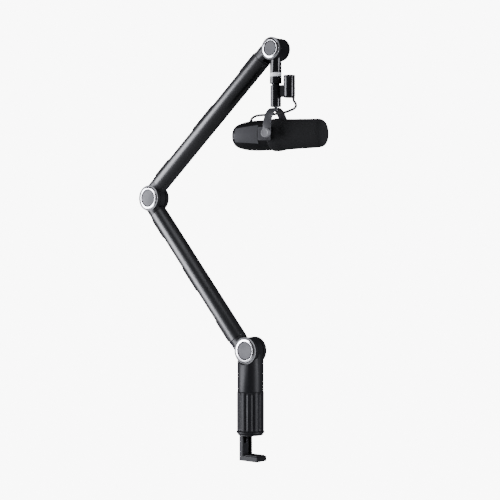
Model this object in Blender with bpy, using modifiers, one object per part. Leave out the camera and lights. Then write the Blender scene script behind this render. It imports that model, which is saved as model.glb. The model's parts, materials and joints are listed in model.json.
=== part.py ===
"""Broadcast microphone in a yoke, on a two-link tube boom arm with a desk clamp.

Frame: +Z is up. The origin is the centre of the clamp's upper jaw, in the plane of the desk
top. The arm folds in the XZ plane and reaches towards +X. Sizes below are in millimetres and
are brought to metres by MM. Round pieces are turned profiles given as (radius, height) points.
"""

import math

import bmesh
import bpy
from mathutils import Matrix, Vector

MM = 0.001
GAP = 0.3  # clearance between two pieces that touch on the real object

# ---- driving dimensions -------------------------------------------------------------------
BASE_PIVOT = (0.0, 162.0)  # (x, z) of the hinge between post and lower arm
LOWER_ARM = (390.0, 130.0)  # length between pivots, direction in degrees from +X
UPPER_ARM = (415.0, 41.4)
TUBE_R = 18.0
TUBE_WALL = 1.8
TUBE_OFFSET = -10.0  # the tubes lie on the outer side of the line between their pivots
TUBE_START = 34.0  # a tube ends this far short of each pivot
FOLDED_BACK = 60.0  # how far from upright the lower arm leans back at its limit, in degrees

BIG_JOINT = {"ear": 26.0, "slot": 30.0, "ring": 23.0, "disc": 17.2, "knuckle": 7.5, "seat": 12.0}
HEAD_JOINT = {"ear": 21.5, "slot": 31.0, "ring": 19.2, "disc": 14.0, "knuckle": 11.2, "seat": 14.6}
EAR_FACE = 17.0  # half the width over a fork's ears
WASHER = 0.8
BOLT_R = 5.0

POST_R = 25.3
POST_Z = (83.6, 157.0)
KNOB_R = 26.0
KNOB_BORE = 22.3
KNOB_Z = (8.4, 83.2)
KNOB_FLUTES = 12
FLANGE_R = 27.0
FLANGE_Z = (2.0, 8.0)
CORE_R = 20.0
CORE_TOP = 83.2
SPIGOT_R = 12.0
SPIGOT_TOP = 118.0
LEG_X = (-16.0, -7.0)
LEG_HALF = 15.0
LEG_TOP = 42.0
LEG_WALL = 2.5
FOOT_X = 27.5
FOOT_Z = (-49.5, -39.6)
RACK_PITCH = 4.8

STEM_R = 11.15
STEM_DROP = 45.0  # from the head pivot to the foot of the stem
STUD_R = 7.5
MARKER_DROP = (45.3, 52.4)
LOCK_DROP = (52.7, 65.0)
SOCKET_DROP = (68.4, 109.0)
SOCKET_R = 10.25
MIC_DROP = 162.3  # from the head pivot to the microphone's own pivot
MIC_YAW = 13.0  # degrees, the microphone's axis from the arm's plane
HOUSING_S = 28.0  # the connector housing stands this far in front of the stem
HOUSING_R = 11.0
HOUSING_Z = (69.3, 111.3)  # heights from here on are above the microphone's pivot
YOKE_TOP = 51.3
YOKE_R = 42.5
YOKE_BAND = 16.0
YOKE_THICK = 3.0
YOKE_KNOB_R = 8.5
MIC_TAIL = -85.2
FOAM_FRONT = 102.0
LEAD_R = 2.3

# The lead's route in the microphone's middle plane: (forward, up) from the microphone's pivot.
LEAD_ROUTE = (
    (36.5, 65.5), (37.6, 62.0), (40.6, 58.0), (41.6, 54.0), (40.6, 50.6), (37.0, 47.8),
    (31.0, 45.4), (24.0, 43.2), (16.0, 41.4), (7.0, 40.2), (-3.0, 39.4), (-14.0, 39.0),
    (-25.0, 38.9), (-34.0, 38.6), (-41.0, 37.6), (-47.0, 35.2), (-51.4, 31.6),
)

# ---- colours (linear RGB), roughness and metallic -------------------------------------------
FINISHES = {
    "black_coat": ((0.022, 0.022, 0.024), 0.42, 0.0),
    "dark_grey_coat": ((0.06, 0.06, 0.063), 0.45, 0.0),
    "black_plastic": ((0.018, 0.018, 0.019), 0.5, 0.0),
    "chrome": ((0.82, 0.82, 0.84), 0.12, 1.0),
    "brushed_disc": ((0.34, 0.34, 0.35), 0.4, 1.0),
    "steel": ((0.5, 0.5, 0.52), 0.32, 1.0),
    "brass": ((0.62, 0.46, 0.2), 0.35, 1.0),
    "rubber": ((0.015, 0.015, 0.016), 0.85, 0.0),
    "foam": ((0.012, 0.012, 0.013), 0.95, 0.0),
    "side_grey": ((0.16, 0.16, 0.17), 0.45, 0.0),
    "white_ring": ((0.85, 0.85, 0.87), 0.3, 0.0),
    "board_green": ((0.03, 0.16, 0.07), 0.5, 0.0),
}


# ---- tools ------------------------------------------------------------------------------------
def clear_scene():
    """Removes every object of the open file."""
    for obj in list(bpy.data.objects):
        bpy.data.objects.remove(obj, do_unlink=True)


def new_collection(name):
    """A collection linked to the scene."""
    coll = bpy.data.collections.new(name)
    bpy.context.scene.collection.children.link(coll)
    return coll


clear_scene()
PARTS = new_collection("boom_arm_microphone")
CUTTERS = new_collection("cutters")


def finish_material(name):
    """The Principled material of one of the FINISHES, made once."""
    found = bpy.data.materials.get(name)
    if found:
        return found
    colour, roughness, metallic = FINISHES[name]
    mat = bpy.data.materials.new(name)
    mat.use_nodes = True
    shader = mat.node_tree.nodes["Principled BSDF"]
    shader.inputs["Base Color"].default_value = (*colour, 1.0)
    shader.inputs["Roughness"].default_value = roughness
    shader.inputs["Metallic"].default_value = metallic
    mat.diffuse_color = (*colour, 1.0)
    return mat


def frame_empty(name, location, rotation=(0.0, 0.0, 0.0), parent=None):
    """An empty that carries a moving frame: location in mm, rotation in degrees."""
    empty = bpy.data.objects.new(name, None)
    PARTS.objects.link(empty)
    empty.empty_display_size = 0.02
    empty.parent = parent
    empty.location = Vector(location) * MM
    empty.rotation_euler = [math.radians(a) for a in rotation]
    return empty


def place(obj, parent, location, rotation, finish):
    """Links an object as a part, or as a hidden cutter where it has no finish."""
    (PARTS if finish else CUTTERS).objects.link(obj)
    obj.parent = parent
    obj.location = Vector(location) * MM
    obj.rotation_euler = [math.radians(a) for a in rotation]
    if finish:
        obj.data.materials.append(finish_material(finish))
    else:
        obj.hide_render = True
        obj.display_type = "WIRE"
    return obj


def mesh_part(name, bm, parent, location, rotation, finish):
    """A placed object with the mesh of a bmesh, smooth between its sharper edges."""
    mesh = bpy.data.meshes.new(name)
    bm.to_mesh(mesh)
    bm.free()
    mesh.shade_smooth()
    mesh.set_sharp_from_angle(angle=math.radians(32))
    return place(bpy.data.objects.new(name, mesh), parent, location, rotation, finish)


def box(name, low, high, parent=None, finish=None, location=(0, 0, 0), rotation=(0, 0, 0)):
    """A block between two corners in its parent's frame."""
    size = [b - a for a, b in zip(low, high)]
    middle = [(a + b) / 2 for a, b in zip(low, high)]
    bm = bmesh.new()
    bmesh.ops.create_cube(bm, size=1.0)
    grow = Matrix.Diagonal((*[s * MM for s in size], 1.0))
    bmesh.ops.transform(bm, matrix=Matrix.Translation(Vector(middle) * MM) @ grow, verts=bm.verts)
    return mesh_part(name, bm, parent, location, rotation, finish)


ALONG = {
    "X": Matrix.Rotation(math.pi / 2, 4, "Y"),
    "Y": Matrix.Rotation(-math.pi / 2, 4, "X"),
    "Z": Matrix.Identity(4),
}


def rod(name, radius, start, end, along="Z", centre=(0, 0), parent=None, finish=None, sides=24):
    """A cylinder from start to end along an axis; centre is its place across that axis."""
    bm = bmesh.new()
    bmesh.ops.create_cone(
        bm, cap_ends=True, segments=sides, radius1=radius * MM, radius2=radius * MM,
        depth=(end - start) * MM,
    )
    middle = (start + end) / 2
    a, b = centre
    shift = {"X": (middle, a, b), "Y": (a, middle, b), "Z": (a, b, middle)}[along]
    bmesh.ops.transform(
        bm, matrix=Matrix.Translation(Vector(shift) * MM) @ ALONG[along], verts=bm.verts
    )
    return mesh_part(name, bm, parent, (0, 0, 0), (0, 0, 0), finish)


def turned(name, profile, parent, finish, location=(0, 0, 0), rotation=(0, 0, 0), steps=24):
    """A turned piece: (radius, height) points down the outer side, then up the inner side.

    A profile that starts on the axis is open there; any other is a closed ring section.
    """
    closed = profile[0][0] > 0
    mesh = bpy.data.meshes.new(name)
    points = [(r * MM, 0.0, z * MM) for r, z in profile]
    edges = [(i, i + 1) for i in range(len(points) - 1)]
    if closed:
        edges.append((len(points) - 1, 0))
    mesh.from_pydata(points, edges, [])
    obj = place(bpy.data.objects.new(name, mesh), parent, location, rotation, finish)
    screw = obj.modifiers.new("Turn", "SCREW")
    screw.steps = screw.render_steps = steps
    screw.use_merge_vertices = True
    screw.merge_threshold = 0.00001
    screw.use_smooth_shade = True
    return obj


def ring_section(inner, outer, low, high, chamfer=0.0):
    """The closed section of a plain ring, its outer corners chamfered."""
    c = chamfer
    if c:
        return [(outer - c, high), (outer, high - c), (outer, low + c), (outer - c, low),
                (inner, low), (inner, high)]
    return [(outer, high), (outer, low), (inner, low), (inner, high)]


def extruded(name, outlines, half, parent, finish, location=(0, 0, 0), rotation=(0, 0, 0)):
    """A flat outline (and any holes in it) filled and extruded by half to each side, as a mesh."""
    curve = bpy.data.curves.new(name, "CURVE")
    curve.dimensions = "2D"
    curve.fill_mode = "BOTH"
    curve.extrude = half * MM
    for outline in outlines:
        spline = curve.splines.new("POLY")
        spline.points.add(len(outline) - 1)
        for point, (x, y) in zip(spline.points, outline):
            point.co = (x * MM, y * MM, 0.0, 1.0)
        spline.use_cyclic_u = True
    return curve_to_mesh(name, curve, parent, finish, location, rotation)


def curve_to_mesh(name, curve, parent, finish, location=(0, 0, 0), rotation=(0, 0, 0)):
    """The closed mesh of a curve, its caps welded to its sides."""
    guide = bpy.data.objects.new(name + "_guide", curve)
    CUTTERS.objects.link(guide)
    evaluated = guide.evaluated_get(bpy.context.evaluated_depsgraph_get())
    mesh = bpy.data.meshes.new_from_object(evaluated)
    bpy.data.objects.remove(guide, do_unlink=True)
    bm = bmesh.new()
    bm.from_mesh(mesh)
    bmesh.ops.remove_doubles(bm, verts=bm.verts, dist=0.000005)
    mesh.materials.clear()
    obj = mesh_part(name, bm, parent, location, rotation, finish)
    bpy.data.meshes.remove(mesh)
    return obj


def boolean(obj, operation, *others):
    """Adds one exact Boolean for each of the other objects."""
    for other in others:
        modifier = obj.modifiers.new(other.name, "BOOLEAN")
        modifier.operation = operation
        modifier.solver = "EXACT"
        modifier.object = other
    return obj


def join(obj, *others):
    """Unites an object with others."""
    return boolean(obj, "UNION", *others)


def cut(obj, *others):
    """Takes others away from an object."""
    return boolean(obj, "DIFFERENCE", *others)


def arc(radius, start, end, count, centre=(0.0, 0.0)):
    """Points on an arc, angles in degrees, both ends included."""
    angles = [math.radians(start + (end - start) * i / (count - 1)) for i in range(count)]
    return [(centre[0] + radius * math.cos(a), centre[1] + radius * math.sin(a)) for a in angles]


def smooth_route(points, spacing):
    """Points about every spacing along the smooth curve through the route's own points."""
    route = [Vector(p) for p in points]
    ends = [route[0] * 2 - route[1], *route, route[-1] * 2 - route[-2]]
    found = [route[0]]
    for before, a, b, after in zip(ends, ends[1:], ends[2:], ends[3:]):
        count = max(1, round((b - a).length / spacing))
        for i in range(1, count + 1):
            t = i / count
            found.append(
                0.5 * (2 * a + (b - before) * t + (2 * before - 5 * a + 4 * b - after) * t**2
                       + (3 * a - before - 3 * b + after) * t**3)
            )
    return found


def wire(name, points, radius, parent, finish, sides_resolution=2):
    """A round wire along a POLY spline with filled caps."""
    curve = bpy.data.curves.new(name, "CURVE")
    curve.dimensions = "3D"
    curve.bevel_depth = radius * MM
    curve.bevel_resolution = sides_resolution
    curve.use_fill_caps = True
    spline = curve.splines.new("POLY")
    spline.points.add(len(points) - 1)
    for point, co in zip(spline.points, points):
        point.co = (*(Vector(co) * MM), 1.0)
    return curve_to_mesh(name, curve, parent, finish)


# ---- clamp -------------------------------------------------------------------------------------
def leg_slot(name, low, high):
    """The cutter of the passage for the jaw's leg and its rack."""
    slack = 0.4
    passage = box(name, (LEG_X[0] - slack, -LEG_HALF - slack, low),
                  (LEG_X[1] + slack, LEG_HALF + slack, high))
    rack_way = box(name + "_rack", (-20.2, -6.5, low), (LEG_X[0], 6.5, high))
    return passage, rack_way


def build_clamp():
    """The clamp's fixed part: the flanged core with its spigot, its pad, rail and bushing."""
    core = turned(
        "clamp_core",
        [(0, SPIGOT_TOP), (SPIGOT_R, SPIGOT_TOP), (SPIGOT_R, CORE_TOP), (CORE_R, CORE_TOP),
         (CORE_R, FLANGE_Z[1]), (FLANGE_R - 1, FLANGE_Z[1]), (FLANGE_R, FLANGE_Z[1] - 1),
         (FLANGE_R, FLANGE_Z[0] + 2.5), (FLANGE_R - 2.5, FLANGE_Z[0]), (0, FLANGE_Z[0])],
        None, "dark_grey_coat", steps=40,
    )
    cut(core, *leg_slot("core_slot", -1.0, 78.5))
    well = box("core_side_cut", (-30.0, -30.0, FLANGE_Z[1]), (LEG_X[1] + 0.4, 30.0, 78.5))
    cut(core, well)

    pad = turned("upper_jaw_pad", [(0, 1.7), (24.2, 1.7), (24.2, 0), (0, 0)], None, "rubber")
    cut(pad, *leg_slot("pad_slot", -1.0, 3.0))

    box("guide_rail", (-12.6, -3.5, -16.0), (LEG_X[1] + 0.1, 3.5, 60.0), finish="steel")
    turned("swivel_bushing", ring_section(SPIGOT_R + GAP, 15.0, POST_Z[0], 116.0), None, "brass",
           steps=24)


def build_knob():
    """The fluted sleeve: wide lands with round-bottomed grooves between them."""
    per_flute = 6
    depths = (0.0, 0.0, 0.0, 0.8, 1.4, 0.8)
    outline = []
    for i in range(KNOB_FLUTES * per_flute):
        angle = 2 * math.pi * i / (KNOB_FLUTES * per_flute)
        radius = KNOB_R - depths[i % per_flute]
        outline.append((radius * math.cos(angle), radius * math.sin(angle)))
    bore = arc(KNOB_BORE, 0, 360, 37)[:-1]
    low, high = KNOB_Z
    extruded("clamp_knob", [outline, bore], (high - low) / 2, None, "dark_grey_coat",
             location=(0, 0, (low + high) / 2))


def build_lower_jaw():
    """The leg, a channel open towards the desk, and the foot under the desk."""
    x0, x1 = LEG_X
    web, side, half = LEG_WALL, 4.0, LEG_HALF
    channel = [(x0, -half), (x1, -half), (x1, -half + side), (x0 + web, -half + side),
               (x0 + web, half - side), (x1, half - side), (x1, half), (x0, half)]
    middle = (LEG_TOP + FOOT_Z[1]) / 2 - 1.0
    jaw = extruded("lower_jaw", [channel], (LEG_TOP - FOOT_Z[1]) / 2 + 1.0, None,
                   "dark_grey_coat", location=(0, 0, middle))
    foot = box("foot_block", (x0, -half, FOOT_Z[0]), (FOOT_X, half, FOOT_Z[1]))
    join(jaw, foot)

    teeth = []
    count = 16
    top = LEG_TOP - 1.0
    for i in range(count):
        z = top - i * RACK_PITCH
        teeth += [(-17.6, z), (-19.6, z - 1.4), (-19.6, z - 2.2), (-17.6, z - 3.6)]
    bottom = top - count * RACK_PITCH
    outline = [(x0 - GAP, top), *teeth, (-17.6, bottom), (x0 - GAP, bottom)]
    extruded("jaw_rack", [outline], 5.8, None, "steel", rotation=(90, 0, 0))
    box("jaw_pad", (-5.0, -12.5, FOOT_Z[1] + GAP), (25.0, 12.5, FOOT_Z[1] + 1.6), finish="rubber")


# ---- hinge joints --------------------------------------------------------------------------------
def ear_inner(joint):
    """Half the width of a fork's slot: the knuckle, a washer and a gap each side of it."""
    return joint["knuckle"] + WASHER + 2 * GAP


def hinge_hardware(label, joint, frame):
    """The through bolt with its head and nut, and on each side a chrome ring round a disc."""
    seat, head = joint["seat"] + GAP, min(joint["seat"] + 3.0, 15.7)
    turned(
        f"{label}_pivot_bolt",
        [(0, head), (9.0, head), (9.0, seat), (BOLT_R, seat), (BOLT_R, -seat), (9.0, -seat),
         (9.0, -head), (0, -head)],
        frame, "steel", rotation=(-90, 0, 0), steps=16,
    )
    ring = ring_section(joint["disc"] + GAP, joint["ring"], EAR_FACE + GAP, EAR_FACE + 1.9)
    disc = [(0, EAR_FACE + 1.2), (joint["disc"], EAR_FACE + 1.2), (joint["disc"], 16.0), (0, 16.0)]
    for side, turn in (("near", 90), ("far", -90)):
        turned(f"{label}_{side}_ring", ring, frame, "chrome", rotation=(turn, 0, 0))
        turned(f"{label}_{side}_disc", disc, frame, "brushed_disc", rotation=(turn, 0, 0))


def fork(name, joint, frame, at, towards, finish="black_coat"):
    """The forked end fitting of a tube: two ears round the pivot, a neck and a plug.

    at is the pivot's height in the arm's frame; towards is +1 or -1, the way to the tube.
    """
    tube_end = at + towards * TUBE_START
    drum = rod(name, joint["ear"], -EAR_FACE, EAR_FACE, "Y", (0, at), frame, finish, sides=32)
    neck = rod(name + "_neck", TUBE_R - 0.6, *sorted((at + towards * 4, tube_end - towards * GAP)),
               "Z", (TUBE_OFFSET, 0), frame)
    plug = rod(name + "_plug", TUBE_R - TUBE_WALL - GAP,
               *sorted((tube_end - towards * 2, tube_end + towards * 18)),
               "Z", (TUBE_OFFSET, 0), frame)
    inner = ear_inner(joint)
    slot = rod(name + "_slot", joint["slot"], -inner, inner, "Y", (0, at), frame, sides=32)
    join(drum, neck, plug)
    bolt_way = rod(name + "_bolt_way", BOLT_R + GAP, -30, 30, "Y", (0, at), frame, sides=16)
    seats = [
        rod(f"{name}_seat_{side}", joint["disc"] + GAP,
            *sorted((side * joint["seat"], side * 30)), "Y", (0, at), frame)
        for side in (-1, 1)
    ]
    faces = [
        rod(f"{name}_face_{side}", joint["ring"] + GAP, *sorted((side * EAR_FACE, side * 30)), "Y",
            (0, at), frame)
        for side in (-1, 1)
    ]
    return cut(drum, slot, bolt_way, *seats, *faces)


def ear_clearance(name, joint, frame, at=0.0):
    """Cutters that keep a knuckle's neck clear of the fork's ears beside it."""
    return [
        rod(f"{name}_clear_{side}", joint["ear"] + 0.6,
            *sorted((side * joint["knuckle"], side * 40)), "Y", (0, at), frame, sides=40)
        for side in (-1, 1)
    ]


def tube(name, frame, length, finish="black_coat"):
    """The round tube between an arm's end fittings."""
    section = ring_section(TUBE_R - TUBE_WALL, TUBE_R, TUBE_START, length - TUBE_START)
    return turned(name, section, frame, finish, location=(TUBE_OFFSET, 0, 0), steps=36)


def cable_cover(name, frame, spans):
    """Low covers on the tube's outer side, joined by the narrow strip that holds the cable."""
    def shell(label, inner, outer, half_angle, low, high, finish=None):
        outline = arc(outer, 180 - half_angle, 180 + half_angle, 6)
        outline += arc(inner, 180 + half_angle, 180 - half_angle, 6)
        return extruded(label, [outline], (high - low) / 2, frame, finish,
                        location=(TUBE_OFFSET, 0, (low + high) / 2))

    strip = shell(name, TUBE_R + 0.4, TUBE_R + 0.9, 13, spans[0][0] + 2, spans[-1][1] - 2,
                  "black_plastic")
    return join(strip, *[shell(f"{name}_{i}", TUBE_R + GAP, TUBE_R + 1.6, 40, *span)
                         for i, span in enumerate(spans)])


def balance_spring(name, frame, low, high, turns=7):
    """The tension spring in a tube: a close helix between two straight tails on its axis."""
    radius, per_turn = 7.0, 7
    count = turns * per_turn
    points = [(TUBE_OFFSET, 0, low - 12), (TUBE_OFFSET, 0, low - 3)]
    for i in range(count + 1):
        a = 2 * math.pi * i / per_turn
        points.append((TUBE_OFFSET + radius * math.cos(a), radius * math.sin(a),
                       low + (high - low) * i / count))
    points += [(TUBE_OFFSET, 0, high + 3), (TUBE_OFFSET, 0, high + 12)]
    return wire(name, points, 1.2, frame, "steel", 1)


# ---- post and arms ---------------------------------------------------------------------------------
def build_post(frame):
    """The swivelling post: a hollow drum, scooped for the fork's ears each side of a knuckle."""
    x, pivot = BASE_PIVOT
    low, high = POST_Z
    bore_r, bore_top = 15.3, 122.0
    post = turned(
        "post",
        [(0, high), (POST_R - 1, high), (POST_R, high - 1), (POST_R, low), (bore_r, low),
         (bore_r, bore_top), (0, bore_top)],
        None, "dark_grey_coat", steps=40,
    )
    half = BIG_JOINT["knuckle"]
    scoops = [
        rod(f"post_scoop_{side}", BIG_JOINT["ear"] + 0.8, *sorted((side * half, side * 40)), "Y",
            (x, pivot), sides=48)
        for side in (-1, 1)
    ]
    folded = frame_empty("arm_folded_back", (x, 0, pivot), (0, -FOLDED_BACK, 0))
    reliefs = [
        box(f"post_relief_{side}", (TUBE_OFFSET - TUBE_R - 0.4, min(side * half, side * 40), 0),
            (40, max(side * half, side * 40), 60), folded)
        for side in (-1, 1)
    ]
    disc = rod("post_knuckle", BIG_JOINT["ear"] - 0.5, -half, half, "Y", (x, pivot), sides=40)
    hole = rod("post_bolt_way", BOLT_R + GAP, -30, 30, "Y", (x, pivot), sides=16)
    cut(post, *scoops, *reliefs)
    join(post, disc)
    cut(post, hole)
    hinge_hardware("base", BIG_JOINT, frame)


def build_lower_arm(frame):
    """The lower arm: a tube between two forks."""
    length = LOWER_ARM[0]
    tube("lower_tube", frame, length)
    fork("lower_base_fork", BIG_JOINT, frame, 0.0, 1)
    fork("lower_elbow_fork", BIG_JOINT, frame, length, -1)
    cable_cover("lower_cable_cover", frame, [(42, 92), (168, 226), (306, 352)])
    balance_spring("lower_spring", frame, 80, 250)


def build_upper_arm(frame, elbow_frame, head_frame):
    """The upper arm: a tube with a knuckle at the elbow and a fork at the head."""
    length = UPPER_ARM[0]
    tube("upper_tube", frame, length)
    knuckle_half = BIG_JOINT["knuckle"]
    knuckle = rod("upper_knuckle", BIG_JOINT["ear"] - 0.5, -knuckle_half, knuckle_half, "Y",
                  (0, 0), frame, "black_coat", sides=40)
    neck = rod("upper_knuckle_neck", TUBE_R - 0.6, 4, TUBE_START - GAP, "Z", (TUBE_OFFSET, 0),
               frame)
    plug = rod("upper_knuckle_plug", TUBE_R - TUBE_WALL - GAP, TUBE_START - 2, TUBE_START + 18,
               "Z", (TUBE_OFFSET, 0), frame)
    cut(neck, *ear_clearance("upper_neck", BIG_JOINT, frame))
    join(knuckle, neck, plug)
    cut(knuckle, rod("upper_bolt_way", BOLT_R + GAP, -30, 30, "Y", (0, 0), frame, sides=16))
    fork("upper_fork", HEAD_JOINT, frame, length, -1)
    cable_cover("upper_cable_cover", frame, [(40, 86), (172, 240), (330, 378)])
    balance_spring("upper_spring", frame, 90, 270)
    hinge_hardware("elbow", BIG_JOINT, elbow_frame)
    hinge_hardware("head", HEAD_JOINT, head_frame)


# ---- head and thread --------------------------------------------------------------------------------
def build_head(frame):
    """The tilting knuckle with its stem, the thread stud, the marker ring and the lock ring."""
    half = HEAD_JOINT["knuckle"]
    knuckle = rod("head_knuckle", HEAD_JOINT["ear"] - 0.5, -half, half, "Y", (0, 0), frame,
                  "black_coat", sides=40)
    stem = rod("head_stem", STEM_R, -STEM_DROP, -6, "Z", (0, 0), frame)
    join(knuckle, stem)
    cut(knuckle, rod("head_bolt_way", BOLT_R + GAP, -30, 30, "Y", (0, 0), frame, sides=16),
        rod("head_stud_way", STUD_R + GAP, -60, -STEM_DROP + 14, "Z", (0, 0), frame, sides=24))
    rod("thread_stud", STUD_R, -SOCKET_DROP[1] + 6.0, -STEM_DROP + 13, "Z", (0, 0), frame,
        "steel", sides=24)
    low, high = -MARKER_DROP[1], -MARKER_DROP[0]
    groove = (low + high) / 2
    inner, outer = STUD_R + 0.4, STEM_R + 0.1
    turned(
        "marker_ring",
        [(outer, high), (outer, groove + 0.5), (outer - 0.8, groove), (outer, groove - 0.5),
         (outer, low), (inner, low), (inner, high)],
        frame, "white_ring", steps=20,
    )
    low, high = -LOCK_DROP[1], -LOCK_DROP[0]
    turned("lock_ring", ring_section(inner, STEM_R + 0.15, low, high, 0.9), frame,
           "black_coat", steps=20)


# ---- yoke and connector -------------------------------------------------------------------------------
def build_mount(frame):
    """The swivelling mount: thread socket, yoke, bridge and connector housing."""
    low = MIC_DROP - SOCKET_DROP[1]
    high = MIC_DROP - SOCKET_DROP[0]
    turned(
        "yoke_socket",
        [(STUD_R + 0.4, high), (SOCKET_R - 0.8, high), (SOCKET_R, high - 0.8), (SOCKET_R, low + 1),
         (SOCKET_R - 1, low), (3.3, low), (3.3, low + 4), (STUD_R + 0.4, low + 4)],
        frame, "black_coat", steps=20,
    )
    bridge_z = (71.2, 93.5)
    bridge = box("connector_bridge", (6.0, -4.0, bridge_z[0]),
                 (HOUSING_S - 7.0, 4.0, bridge_z[1]), frame, "side_grey")
    cut(bridge, rod("bridge_socket_face", SOCKET_R + GAP, 60, 120, "Z", (0, 0), frame),
        rod("bridge_housing_face", HOUSING_R + GAP, 60, 120, "Z", (HOUSING_S, 0), frame))

    low_h, high_h = HOUSING_Z
    turned(
        "connector_housing",
        [(9.3, high_h), (HOUSING_R - 0.8, high_h), (HOUSING_R, high_h - 0.8),
         (HOUSING_R, low_h + 1.2), (HOUSING_R - 1.2, low_h), (3.0, low_h), (3.0, low_h + 8),
         (9.3, low_h + 14)],
        frame, "black_coat", location=(HOUSING_S, 0, 0), steps=20,
    )
    insert = rod("connector_insert", 9.0, low_h + 14.3, low_h + 18, "Z", (HOUSING_S, 0), frame,
                 "black_plastic", sides=24)
    pins = [
        rod(f"pin_{i}", 1.2, low_h + 17, low_h + 32, "Z",
            (HOUSING_S + 4.2 * math.cos(a), 4.2 * math.sin(a)), frame, sides=10)
        for i, a in enumerate(math.radians(30 + 120 * i) for i in range(3))
    ]
    join(insert, *pins)

    turned("lead_gland", [(0, low_h - GAP), (3.2, low_h - GAP), (2.6, low_h - 2.6), (0, low_h - 2.6)],
           frame, "rubber", location=(36.5, 0, 0), steps=16)
    build_yoke(frame)
    wire("mic_lead", lead_points(), LEAD_R, frame, "rubber", 2)


def lead_points():
    """The lead's centre line in the microphone's frame."""
    return [(p[0], 0.0, p[1]) for p in smooth_route([(s, z) for s, z in LEAD_ROUTE], 4.5)]


def build_yoke(frame):
    """A flat band bent to an arch, with round ends that carry the microphone's pivots."""
    centre = YOKE_TOP - YOKE_R
    outer, inner = YOKE_R, YOKE_R - YOKE_THICK
    foot = -8.0
    outline = [(outer, foot), *arc(outer, 0, 180, 25, (0, centre)), (-outer, foot),
               (-inner, foot), *arc(inner, 180, 0, 25, (0, centre)), (inner, foot)]
    yoke = extruded("yoke", [outline], YOKE_BAND / 2, frame, "dark_grey_coat",
                    rotation=(90, 0, 90))
    cut(yoke, rod("yoke_pivot_way", 3.4, -60, 60, "Y", (0, 0), frame, sides=16),
        rod("yoke_bolt_way", 3.3, 40, 60, "Z", (0, 0), frame, sides=16))
    under = YOKE_TOP - YOKE_THICK
    turned("yoke_bolt",
           [(0, 56.6), (3.0, 56.6), (3.0, under - 0.6), (5.2, under - 0.6), (5.2, under - 3.6),
            (0, under - 3.6)],
           frame, "steel", steps=16)
    for label, side in (("near", -1), ("far", 1)):
        turned(
            f"{label}_yoke_knob",
            [(0, 50.4), (YOKE_KNOB_R - 1.2, 50.4), (YOKE_KNOB_R, 49.2), (YOKE_KNOB_R, 43.8),
             (YOKE_KNOB_R - 1.0, 42.8), (3.0, 42.8), (3.0, 32.4), (0, 32.4)],
            frame, "side_grey", rotation=(-90 * side, 0, 0), steps=24,
        )


# ---- microphone -----------------------------------------------------------------------------------------
BODY_OUTLINE = (
    (29.0, -8.4), (28.9, -38.0), (27.5, -56.0), (23.6, -73.0), (20.0, -80.8), (15.5, MIC_TAIL),
)


def body_section(offset=0.0):
    """The body's outline, moved outwards by offset."""
    return [(r + offset, s) for r, s in BODY_OUTLINE]


def build_microphone(frame):
    """The body with its bosses, the windscreen on its grille cage, and what they hold."""
    along = (0, 90, 0)
    wall = 2.2
    inner = [(r - wall, max(s, MIC_TAIL + wall)) for r, s in reversed(BODY_OUTLINE)]
    shell = turned("body_shell", [*body_section(), (0, MIC_TAIL), (0, MIC_TAIL + wall), *inner],
                   frame, "black_coat", rotation=along, steps=28)
    cut(shell, rod("lead_entry", 3.5, 10, 40, "Z", (-51.4, 0), frame, sides=16))
    screw_way = rod("screw_way", 3.4, -60, 60, "Y", (0, 0), frame, sides=16)
    cut(shell, screw_way)

    build_side_plates(frame)

    base = rod("boss_base", 31.7, -60, 40, "X", (0, 0), frame, sides=40)
    for label, side in (("near", -1), ("far", 1)):
        reach = sorted((side * 22.0, side * 38.6))
        boss = box(f"{label}_yoke_boss", (-21.0, reach[0], -12.5), (3.0, reach[1], 12.5), frame,
                   "side_grey")
        bevel = boss.modifiers.new("Edges", "BEVEL")
        bevel.width = 2.0 * MM
        bevel.segments = 1
        cut(boss, base, screw_way)

    turned(
        "retaining_ring",
        [(28.6, 10.0), (28.6, -7.9), (24.2, -7.9), (24.2, 10.0)],
        frame, "black_plastic", rotation=along, steps=24,
    )
    turned(
        "foam_windscreen",
        [(0, FOAM_FRONT), (16.0, FOAM_FRONT - 0.8), (22.5, FOAM_FRONT - 3.6),
         (26.0, FOAM_FRONT - 8.5), (27.2, FOAM_FRONT - 15.0), (28.8, 30.0), (29.8, 19.0),
         (31.2, 12.0), (31.2, 2.0), (30.4, -5.0), (28.9, -5.0), (28.9, 10.3), (25.6, 10.3),
         (25.2, 88.0), (18.0, 92.0), (0, 92.0)],
        frame, "foam", rotation=along, steps=28,
    )
    turned(
        "grille_cage",
        [(0, 91.6), (17.6, 91.6), (24.8, 87.8), (24.8, 10.4), (23.8, 10.4), (23.8, 87.0),
         (17.0, 90.6), (0, 90.6)],
        frame, "steel", rotation=along, steps=16,
    )
    turned("capsule", [(0, 76.0), (15.0, 76.0), (17.0, 74.0), (17.0, 50.0), (12.0, 48.0),
                       (12.0, 30.0), (0, 30.0)],
           frame, "black_plastic", rotation=along, steps=24)
    turned("capsule_mount", ring_section(17.3, 22.9, 56.0, 61.0), frame, "rubber", rotation=along,
           steps=24)
    board = box("circuit_board", (-74.0, -13.0, -0.8), (-14.0, 13.0, 0.8), frame, "board_green")
    join(board, box("transformer", (-48.0, -9.0, 0.5), (-28.0, 9.0, 14.0), frame))
    turned("lead_grommet", ring_section(LEAD_R + GAP, 3.2, 23.5, 29.8), frame, "rubber",
           location=(-51.4, 0, 0), steps=16)


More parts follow.
